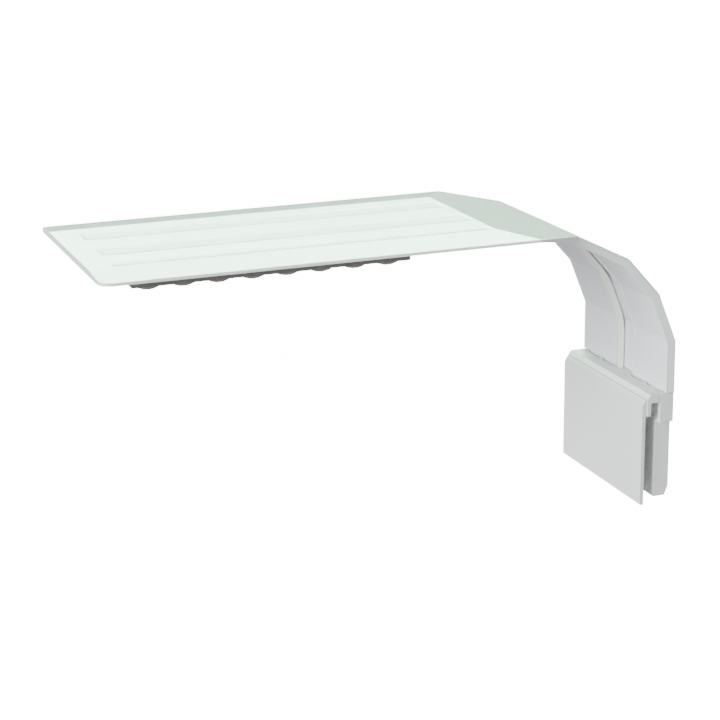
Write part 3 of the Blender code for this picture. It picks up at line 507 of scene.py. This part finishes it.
def finish_mesh(bm, name):
    """Mesh of a closed form, with its faces turned outwards."""
    bmesh.ops.recalc_face_normals(bm, faces=bm.faces)
    return mesh_from(bm, name)


def add_piece(name, mesh, node, paints, replaces=True):
    """Puts a finished piece in the scene on the body of a CAD node, in that node's place."""
    piece = new_object(name, mesh)
    mesh.materials.clear()
    for paint in paints:
        mesh.materials.append(materials[paint])
    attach(piece, body_of_node(node))
    if replaces:
        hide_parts(node)
    return piece


def round_edges(piece, widest, segments=3):
    """Rounds the edges that carry a bevel weight, the widest of them by `widest`."""
    piece.data.shade_smooth()
    bevel = piece.modifiers.new("rounded edges", "BEVEL")
    bevel.width = widest
    bevel.segments = segments
    bevel.limit_method = "WEIGHT"
    bevel.use_clamp_overlap = True
    even = piece.modifiers.new("even shading", "WEIGHTED_NORMAL")
    even.weight = 100
    even.keep_sharp = True


def weigh_edges(bm, rule, widest):
    """Gives each edge a bevel weight from rule(edge, degrees between its faces), in metres."""
    layer = bm.edges.layers.float.new("bevel_weight_edge")
    for edge in bm.edges:
        if len(edge.link_faces) == 2:
            turn = math.degrees(edge.calc_face_angle())
            edge[layer] = min(1.0, rule(edge, turn) / widest)


def solid_of(node):
    """Clean copy of a CAD node's surface: welded, with flat areas merged and large faces in triangles."""
    bm = bmesh.new()
    bm.from_mesh(frame["nodes"][node].data)
    bmesh.ops.remove_doubles(bm, verts=bm.verts, dist=WELD_DISTANCE)
    bmesh.ops.dissolve_limit(bm, angle_limit=math.radians(MERGE_ANGLE), verts=bm.verts, edges=bm.edges)
    bmesh.ops.triangulate(bm, faces=[face for face in bm.faces if len(face.verts) > 4])
    return bm


def runs_across(edge):
    """True for an edge that runs along Y, as the folds of the sheet do."""
    along = edge.verts[1].co - edge.verts[0].co
    return abs(along.y) > 0.9 * along.length


def moulded(node, corner, fold=0.0, rule=None, segments=3):
    """A moulded piece over a CAD node: the same body with rounded corners and softened folds."""
    def plain_rule(edge, turn):
        if turn > CORNER_ANGLE:
            return corner
        return fold if turn > FOLD_ANGLE and runs_across(edge) else 0.0

    bm = solid_of(node)
    widest = max(corner, fold)
    weigh_edges(bm, rule or plain_rule, widest)
    name = node + "_moulded"
    piece = add_piece(name, mesh_from(bm, name), node, [slot_of(node)])
    round_edges(piece, widest, segments)
    return piece


# ---------------------------------------------------------------- shell, arm and cable

def shell_rule(edge, turn):
    """Roundings of the upper shell: a full outer rim, crisp stripe steps and soft folds."""
    low_z = min(v.co.z for v in edge.verts)
    if turn < FOLD_ANGLE:
        return 0.0
    reach = max(abs(v.co.y) for v in edge.verts)
    if low_z > cad_high.z - STRIPE_LAYER and reach < STRIPE_HALF_WIDTH:
        return STRIPE_ROUND
    if turn < CORNER_ANGLE:
        return FOLD_ROUND
    # The rim lies between the outer skin, which looks up or back, and an upright side
    normals = [face.normal for face in edge.link_faces]
    outer = [n for n in normals if n.z > 0.1 or n.x > 0.5]
    side = [n for n in normals if abs(n.z) < 0.2 and n not in outer]
    if not (outer and side):
        return LIP_ROUND
    return HEAD_RIM_ROUND if low_z > HEAD_LOW_Z else RIM_ROUND


def upper_shell():
    """The shell, whose sunk stripes have sloped sides and a slightly coarser finish of their own."""
    shell = moulded("upper_shell", RIM_ROUND, rule=shell_rule, segments=6)
    mesh = shell.data
    mesh.materials.append(materials["stripe_white"])
    floor_z = cad_high.z - STRIPE_DEPTH
    for face in mesh.polygons:
        if abs(face.center.z - floor_z) < LEVEL_SLACK and face.normal.z > 0.9:
            face.material_index = 1
            middle = face.center.copy()
            for index in face.vertices:
                corner = mesh.vertices[index].co
                for axis in (0, 1):
                    corner[axis] += math.copysign(STRIPE_SLOPE, middle[axis] - corner[axis])


def inward_offsets(path):
    """For each (x, z) point of the arm's outer line, the vector one unit deeper, mitred at folds."""
    steps = [(b - a).normalized() for a, b in zip(path, path[1:])]
    offsets = []
    for before, after in zip([steps[0], *steps], [*steps, steps[-1]]):
        first, second = Vector((before.y, -before.x)), Vector((after.y, -after.x))
        middle = (first + second).normalized()
        offsets.append(middle / middle.dot(first))
    return offsets


def sweep(path, offsets, section, name):
    """Closed tube along (x, z) points with a section of (y, depth) points."""
    bm = bmesh.new()
    rings = []
    for point, offset in zip(path, offsets):
        ring = []
        for y, depth in section:
            x, z = point + offset * depth
            ring.append(bm.verts.new((x, y, z)))
        rings.append(ring)
    skin(bm, rings)
    bm.faces.new(rings[0])
    bm.faces.new(rings[-1][::-1])
    return finish_mesh(bm, name)


def skin(bm, rings):
    """Quads between neighbouring closed rings of vertices."""
    for lower, upper in zip(rings, rings[1:]):
        for i in range(len(lower)):
            j = (i + 1) % len(lower)
            bm.faces.new((lower[i], lower[j], upper[j], upper[i]))


def channel_lips():
    """Low beads along both edges of the cable channel in the arm."""
    path = [Vector(point) * MM for point in ARM_PATH]
    offsets = inward_offsets(path)
    for side, name in ((-1, "near"), (1, "far")):
        inner, outer = side * LIP_Y[0], side * LIP_Y[1]
        low, high = LIP_DEPTH
        section = [(inner, low), (outer, low), (outer, high), (inner, high)]
        mesh = sweep(path, offsets, section, f"channel_lip_{name}")
        bm = bmesh.new()
        bm.from_mesh(mesh)
        weigh_edges(bm, lambda edge, turn: LIP_EDGE if turn > FOLD_ANGLE else 0.0, LIP_EDGE)
        bm.to_mesh(mesh)
        bm.free()
        piece = add_piece(f"channel_lip_{name}", mesh, "arm_inner_cover", ["arm_white"], replaces=False)
        round_edges(piece, LIP_EDGE, 2)


def lead_line(node):
    """Middle line of a flat lead from top to bottom: the far edge of its CAD solid, with cut corners."""
    edge_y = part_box(node)[1].y
    tips = {(round(v.co.x, 6), round(v.co.z, 6)) for v in frame["nodes"][node].data.vertices
            if v.co.y > edge_y - TOUCHING}
    points = [Vector(tip) for tip in sorted(tips, key=lambda tip: -tip[1])]
    for _ in range(CORNER_CUT_ROUNDS):
        smoother = [points[0]]
        for a, b in zip(points, points[1:]):
            smoother.extend((a.lerp(b, CORNER_CUT), a.lerp(b, 1.0 - CORNER_CUT)))
        points = [*smoother, points[-1]]
    return points


def twin_lead_section(node, thickness):
    """Outline of a flat two-core lead: two round cores joined by a thinner web."""
    low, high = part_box(node)
    middle, half = (low.y + high.y) / 2, (high.y - low.y) / 2
    radius = thickness / 2
    reach = half - radius
    points = []
    for side, start in ((1, -CORE_ARC / 2), (-1, 180.0 - CORE_ARC / 2)):
        for i in range(CORE_STEPS + 1):
            angle = math.radians(start + CORE_ARC * i / CORE_STEPS)
            points.append((middle + side * reach + radius * math.cos(angle), radius * math.sin(angle)))
    return points


def arm_cable():
    """The two-core lead in the arm's channel."""
    line = lead_line("arm_cable")
    mesh = sweep(line, inward_offsets(line), twin_lead_section("arm_cable", CABLE_THICKNESS), "arm_lead")
    mesh.shade_smooth()
    add_piece("arm_lead", mesh, "arm_cable", ["cable_cream"])


# ---------------------------------------------------------------- lens and light engine

def lens_cell(bm, centre, x_range, y_range, bottom, height):
    """One lens: a spherical dome in the middle of its rectangle of the tray's floor."""
    ball = (LENS_RADIUS ** 2 + height ** 2) / (2 * height)
    rings = []
    for i in range(1, LENS_RINGS + 1):
        r = LENS_RADIUS * i / LENS_RINGS
        z = bottom - (math.sqrt(ball ** 2 - r ** 2) - (ball - height))
        ring = []
        for k in range(LENS_STEPS):
            angle = math.radians(LENS_FIRST_ANGLE) + 2 * math.pi * k / LENS_STEPS
            ring.append(bm.verts.new((centre[0] + r * math.cos(angle), centre[1] + r * math.sin(angle), z)))
        rings.append(ring)
    rings.append(rectangle_ring(bm, x_range, y_range, bottom))
    skin(bm, rings)
    tip = bm.verts.new((*centre, bottom - height))
    for k in range(LENS_STEPS):
        bm.faces.new((tip, rings[0][k], rings[0][(k + 1) % LENS_STEPS]))


def rectangle_ring(bm, x_range, y_range, z):
    """Evenly spaced points round a rectangle, from its low corner and anticlockwise."""
    (x0, x1), (y0, y1) = x_range, y_range
    corners = [(x0, y0), (x1, y0), (x1, y1), (x0, y1)]
    steps = LENS_STEPS // 4
    ring = []
    for a, b in zip(corners, corners[1:] + corners[:1]):
        for k in range(steps):
            ring.append(bm.verts.new((*Vector(a).lerp(Vector(b), k / steps), z)))
    return ring


def midpoints(centres, low, high):
    """Ranges round the centres, from `low` to `high`, that meet halfway between neighbours."""
    inner = [(a + b) / 2 for a, b in zip(centres, centres[1:])]
    return list(zip([low, *inner], [*inner, high]))


def lens_columns():
    """Even places of the lenses and LEDs along the tray."""
    low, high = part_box("lens_cover")
    pitch = (high.x - low.x - 2 * LENS_MARGIN) / LENS_COLUMNS
    return [low.x + LENS_MARGIN + pitch * (i + 0.5) for i in range(LENS_COLUMNS)]


def lens_cover():
    """Clear tray under the head with rows of lenses in its floor."""
    low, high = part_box("lens_cover")
    bottom = TRAY_FLOOR_Z
    columns = lens_columns()
    x_ranges = midpoints(columns, low.x, high.x)
    y_ranges = midpoints(LENS_ROWS, low.y, high.y)
    bm = bmesh.new()
    for x, x_range in zip(columns, x_ranges):
        for y, y_range in zip(LENS_ROWS, y_ranges):
            lens_cell(bm, (x, y), x_range, y_range, bottom, bottom - low.z)
    bmesh.ops.remove_doubles(bm, verts=bm.verts, dist=TOUCHING)
    border = [edge for edge in bm.edges if len(edge.link_faces) == 1]
    depth = high.z - bottom
    middle = (low + high) / 2
    # The open border goes up the wall, steps in across its top and goes down to the inner floor
    for rise, inset in ((depth, 0.0), (0.0, TRAY_WALL), (TRAY_FLOOR - depth, 0.0)):
        made = bmesh.ops.extrude_edge_only(bm, edges=border)["geom"]
        for vert in (g for g in made if isinstance(g, bmesh.types.BMVert)):
            vert.co.z += rise
            for axis in (0, 1):
                gap = min(abs(vert.co[axis] - low[axis]), abs(vert.co[axis] - high[axis]))
                if inset and gap < TOUCHING:
                    vert.co[axis] += math.copysign(inset, middle[axis] - vert.co[axis])
        border = [g for g in made if isinstance(g, bmesh.types.BMEdge)]
    bmesh.ops.contextual_create(bm, geom=border)
    bmesh.ops.recalc_face_normals(bm, faces=bm.faces)

    def rule(edge, turn):
        if turn > CORNER_ANGLE:
            return TRAY_ROUND
        return LENS_EDGE if turn > LENS_EDGE_ANGLE else 0.0

    weigh_edges(bm, rule, TRAY_ROUND)
    piece = add_piece("lens_tray", finish_mesh(bm, "lens_tray"), "lens_cover", ["clear_lens"])
    round_edges(piece, TRAY_ROUND, 2)


def block(bm, x, y, z, mark=0):
    """Box between the given ranges; its faces take material number `mark`."""
    made = bmesh.ops.create_cube(bm, size=1.0)["verts"]
    for vert in made:
        vert.co = Vector([a + (b - a) * (c + 0.5) for (a, b), c in zip((x, y, z), vert.co)])
    for face in {f for v in made for f in v.link_faces}:
        face.material_index = mark


def led(bm, x, y, low_z, face_z, resin):
    """One LED on the board's underside: its body, the resin in its face and solder at both ends."""
    half = LED_SIDE / 2
    inner = half - RESIN_INSET
    block(bm, (x - half, x + half), (y - half, y + half), (low_z + LED_TIP_GAP, face_z))
    block(bm, (x - inner, x + inner), (y - inner, y + inner), (low_z, low_z + RESIN_DEPTH), resin)
    for side in (-1, 1):
        solder = sorted((x + side * half, x + side * (half + SOLDER_LENGTH)))
        block(bm, solder, (y - SOLDER_HALF_WIDTH, y + SOLDER_HALF_WIDTH), (face_z - SOLDER_RISE, face_z), 1)


def led_board():
    """White board with its traces and LEDs; every fourth LED is blue."""
    low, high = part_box("led_board")
    face_z = high.z - BOARD_THICKNESS
    bm = bmesh.new()
    block(bm, (low.x, high.x), (low.y, high.y), (face_z, high.z))
    columns = lens_columns()
    for row, y in enumerate(LENS_ROWS):
        trace_y = (y - TRACE_HALF_WIDTH, y + TRACE_HALF_WIDTH)
        block(bm, (columns[0], columns[-1]), trace_y, (face_z - TRACE_RISE, face_z))
        for column, x in enumerate(columns):
            led(bm, x, y, low.z, face_z, 3 if (row + column) % 4 == 3 else 2)
    weigh_edges(bm, lambda edge, turn: CHIP_ROUND, CHIP_ROUND)
    paints = ["board_white", "steel", "led_white", "led_blue"]
    name = "led_board_populated"
    piece = add_piece(name, mesh_from(bm, name), "led_board", paints)
    round_edges(piece, CHIP_ROUND, 2)


# ---------------------------------------------------------------- screws, stud and knob

def turned(bm, rings, place):
    """Rings of a turned form from (radius, height) pairs; `place` maps (a, b, height) to a point."""
    loops = []
    for radius, height in rings:
        loop = []
        for k in range(SCREW_STEPS):
            angle = 2 * math.pi * k / SCREW_STEPS
            loop.append(bm.verts.new(place(radius * math.cos(angle), radius * math.sin(angle), height)))
        loops.append(loop)
    skin(bm, loops)
    return loops


def cross_ring(bm, arm, half_width, height, place):
    """Outline of a cross recess with as many points as a turned ring."""
    loop = []
    for k in range(SCREW_STEPS):
        angle = 2 * math.pi * k / SCREW_STEPS
        c, s = abs(math.cos(angle)) + NEVER_ZERO, abs(math.sin(angle)) + NEVER_ZERO
        reach = max(min(arm / c, half_width / s), min(half_width / c, arm / s))
        loop.append(bm.verts.new(place(reach * math.cos(angle), reach * math.sin(angle), height)))
    return loop


def cross_screw(node, axis, shank, head_height):
    """Pan-head screw with a cross recess, its head towards `axis`, filling the CAD screw's box."""
    low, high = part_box(node)
    middle = (low + high) / 2
    along = Vector(axis)
    side_a = along.orthogonal().normalized()
    side_b = along.cross(side_a)
    length = abs((high - low).dot(along))
    radius = (high - low).dot(Vector([1.0 - abs(c) for c in along])) / 4  # two widths, four radii
    start = middle - along * length / 2

    def place(a, b, height):
        return start + side_a * a + side_b * b + along * height

    face = length - head_height
    rings = [(SCREW_TIP[0] * shank, 0.0), (shank, SCREW_TIP[1] * shank), (shank, face)]
    rings += [(part * radius, face + rise * head_height) for part, rise in PAN_HEAD]
    bm = bmesh.new()
    loops = turned(bm, rings, place)
    rim = cross_ring(bm, CROSS_RIM[0] * radius, CROSS_RIM[1] * radius, length, place)
    bottom = length - CROSS_DEPTH * head_height
    pit = cross_ring(bm, CROSS_PIT[0] * radius, CROSS_PIT[1] * radius, bottom, place)
    skin(bm, [loops[-1], rim, pit])
    bm.faces.new(pit)
    bm.faces.new(loops[0])
    mesh = finish_mesh(bm, node + "_turned")
    mesh.shade_smooth()
    mesh.set_sharp_from_angle(angle=math.radians(SHARP_ANGLE))
    add_piece(node + "_turned", mesh, node, [slot_of(node)])


def stud():
    """Threaded stud: a helix cut in the rod, with plain chamfered ends."""
    low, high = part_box("thumbscrew_stud")
    axis_z = (low.z + high.z) / 2
    radius = (high.z - low.z) / 2
    count = int((high.x - low.x) / THREAD_STEP)
    bm = bmesh.new()
    loops = []
    for i in range(count + 1):
        x = low.x + (high.x - low.x) * i / count
        end = min(x - low.x, high.x - x)
        loop = []
        for k in range(THREAD_TURN_STEPS):
            turn = k / THREAD_TURN_STEPS
            phase = (x / THREAD_PITCH - turn) % 1.0
            depth = THREAD_DEPTH * min(1.0, abs(phase - 0.5) * THREAD_FLANK)
            r = min(radius - depth, radius - THREAD_DEPTH + end)
            angle = 2 * math.pi * turn
            loop.append(bm.verts.new((x, r * math.cos(angle), axis_z + r * math.sin(angle))))
        loops.append(loop)
    skin(bm, loops)
    bm.faces.new(loops[0])
    bm.faces.new(loops[-1])
    mesh = finish_mesh(bm, "thumbscrew_stud_threaded")
    mesh.shade_smooth()
    mesh.set_sharp_from_angle(angle=math.radians(TURNED_SHARP_ANGLE))
    add_piece("thumbscrew_stud_threaded", mesh, "thumbscrew_stud", ["steel"])


def knob_levels():
    """(x, radius, depth of the lobes): out of the bore, over both shoulders and into the dish."""
    low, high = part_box("thumbscrew_knob")
    stud_low, stud_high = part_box("thumbscrew_stud")
    outer = (high.z - low.z) / 2
    bore = (stud_high.z - stud_low.z) / 2 + KNOB_BORE_GAP
    shoulder = []
    for i in range(KNOB_SHOULDER_STEPS + 1):
        part = i / KNOB_SHOULDER_STEPS
        angle = math.radians(90 * part)
        along = KNOB_SHOULDER * (1 - math.sin(angle))
        shoulder.append((along, outer - KNOB_SHOULDER * (1 - math.cos(angle)), part))
    fading = KNOB_BACK_LOBE_DEPTH - KNOB_LOBE_DEPTH
    levels = [(low.x + KNOB_BORE_DEPTH, bore, 0.0), (low.x + KNOB_CHAMFER, bore, 0.0),
              (low.x, bore + KNOB_CHAMFER, 0.0), (low.x, KNOB_FACE_RADIUS, 0.0)]
    levels += [(low.x + a, radius, KNOB_LOBE_DEPTH) for a, radius, _ in reversed(shoulder)]
    levels += [(high.x - a, radius, KNOB_LOBE_DEPTH + fading * part) for a, radius, part in shoulder]
    levels += [(high.x - depth, radius, 0.0) for depth, radius in zip(DISH_DEPTHS, DISH_RADII)]
    return levels


def knob():
    """Lobed knob with rounded shoulders and a dished face, bored for the stud."""
    low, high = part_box("thumbscrew_knob")
    axis_z = (low.z + high.z) / 2
    bm = bmesh.new()
    loops = []
    for x, radius, lobe in knob_levels():
        loop = []
        for k in range(KNOB_STEPS):
            angle = 2 * math.pi * k / KNOB_STEPS
            r = radius - lobe * (0.5 + 0.5 * math.cos(KNOB_LOBES * angle))
            loop.append(bm.verts.new((x, r * math.cos(angle), axis_z + r * math.sin(angle))))
        loops.append(loop)
    skin(bm, loops)
    bm.faces.new(loops[0])
    bm.faces.new(loops[-1])
    mesh = finish_mesh(bm, "thumbscrew_knob_lobed")
    mesh.shade_smooth()
    mesh.set_sharp_from_angle(angle=math.radians(TURNED_SHARP_ANGLE))
    add_piece("thumbscrew_knob_lobed", mesh, "thumbscrew_knob", ["clamp_white"])


# ---------------------------------------------------------------- the whole light

# Plain moulded and pressed pieces: (rounding of corners, rounding of folds) in millimetres
MOULDED = {
    "head_bottom_cover": (0.3, 1.0),
    "arm_inner_cover": (0.3, 0.8),
    "front_plate": (0.5, 0.0),
    "saddle": (0.35, 0.0),
    "rear_housing": (0.45, 0.0),
    "rear_cover": (0.3, 0.0),
    "front_jaw_pad": (0.3, 0.0),
    "cable_gland": (0.4, 0.0),
    "pressure_plate": (0.2, 0.0),
    "pressure_face": (0.3, 0.0),
    "threaded_insert": (0.2, 0.0),
    "power_socket": (0.3, 0.0),
    "board_connector": (0.15, 0.0),
    "heat_spreader": (0.1, 0.0),
    "lens_gasket": (0.1, 0.0),
    "head_lead": (0.4, 0.0),
    "junction_board": (0.1, 0.0),
    "socket_pin": (0.1, 0.0),
}

# Screws: the way the head faces, radius of the shank and height of the head
SCREWS = {
    "rear_cover_screw": ((1.0, 0.0, 0.0), 0.8 * MM, 0.7 * MM),
    "board_screw": ((0.0, 0.0, -1.0), 1.2 * MM, 1.0 * MM),
    "saddle_screw": ((1.0, 0.0, 0.0), 0.8 * MM, 1.1 * MM),
}


def screws(count, *names):
    """Screws number 1 to `count` of each kind named."""
    for i in range(count):
        for name in names:
            cross_screw(f"{name}_{i + 1}", *SCREWS[name])


def build():
    """Every visible piece of the light."""
    upper_shell()
    for node, (corner, fold) in MOULDED.items():
        moulded(node, corner * MM, fold * MM)
    channel_lips()
    arm_cable()
    lens_cover()
    led_board()
    screws(4, "rear_cover_screw", "board_screw")
    screws(2, "saddle_screw")
    stud()
    knob()


make_camera()
make_studio()
materials = make_materials()
build()
